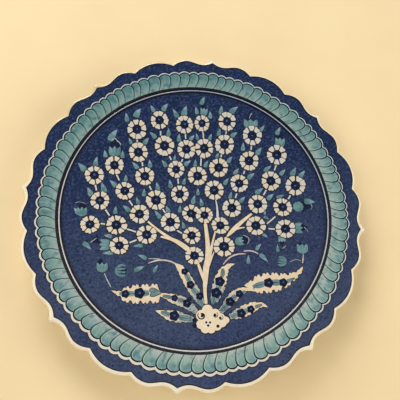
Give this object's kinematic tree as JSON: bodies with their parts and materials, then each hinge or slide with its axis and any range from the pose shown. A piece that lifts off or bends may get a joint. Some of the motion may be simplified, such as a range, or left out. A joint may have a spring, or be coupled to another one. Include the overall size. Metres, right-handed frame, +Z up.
{
  "type": "painted ceramic wall plate",
  "caption": "Shallow round wall plate with a lobed edge, a petal border, a painted blossoming tree and a wire bail on its foot ring.",
  "frame": {"origin": "centre of the foot ring's base", "axes": "+Z up through the painted face, +Y the way the painted tree grows and the way up on a wall"},
  "size_m": [0.2976, 0.2976, 0.0256],
  "materials": {
    "white_body": "clear glaze over white slip",
    "wire": "drawn wire",
    "cobalt": "underglaze cobalt",
    "black": "underglaze black",
    "white_line": "white reserve",
    "cobalt_rim": "underglaze cobalt",
    "turquoise": "underglaze copper green",
    "cream": "raised cream",
    "dark_heart": "underglaze dark blue",
    "eye_blue": "light blue dot",
    "leaf_green": "thin copper green"
  },
  "bodies": {
    "plate": {"plate_body": "white_body", "well_ground": "cobalt", "inner_line": "black", "white_ring": "white_line", "black_ring": "black", "cobalt_border": "cobalt_rim", "edge_line": "black", "rim_petals": "turquoise", "petal_outlines": "black", "scallop_band": "white_line", "trunk": "cream", "sprigs": "white_line", "tendrils": "white_line", "blossom_petals": "cream", "blossom_centres": "dark_heart", "blossom_eyes": "eye_blue", "blossom_leaves": "leaf_green", "tulip_buds": "leaf_green", "saz_leaves": "cream", "leaf_infill": "turquoise", "leaf_rosettes": "dark_heart", "root_mound": "cream", "root_curls": "dark_heart"},
    "bail": {"hanger_wire": "wire"}
  },
  "joints": [
    {"name": "bail_hinge", "type": "hinge", "parent": "plate", "child": "bail", "pos_m": [0, 0.062, 0.0034], "axis": [1, 0, 0], "range_deg": [-105, 4]}
  ]
}
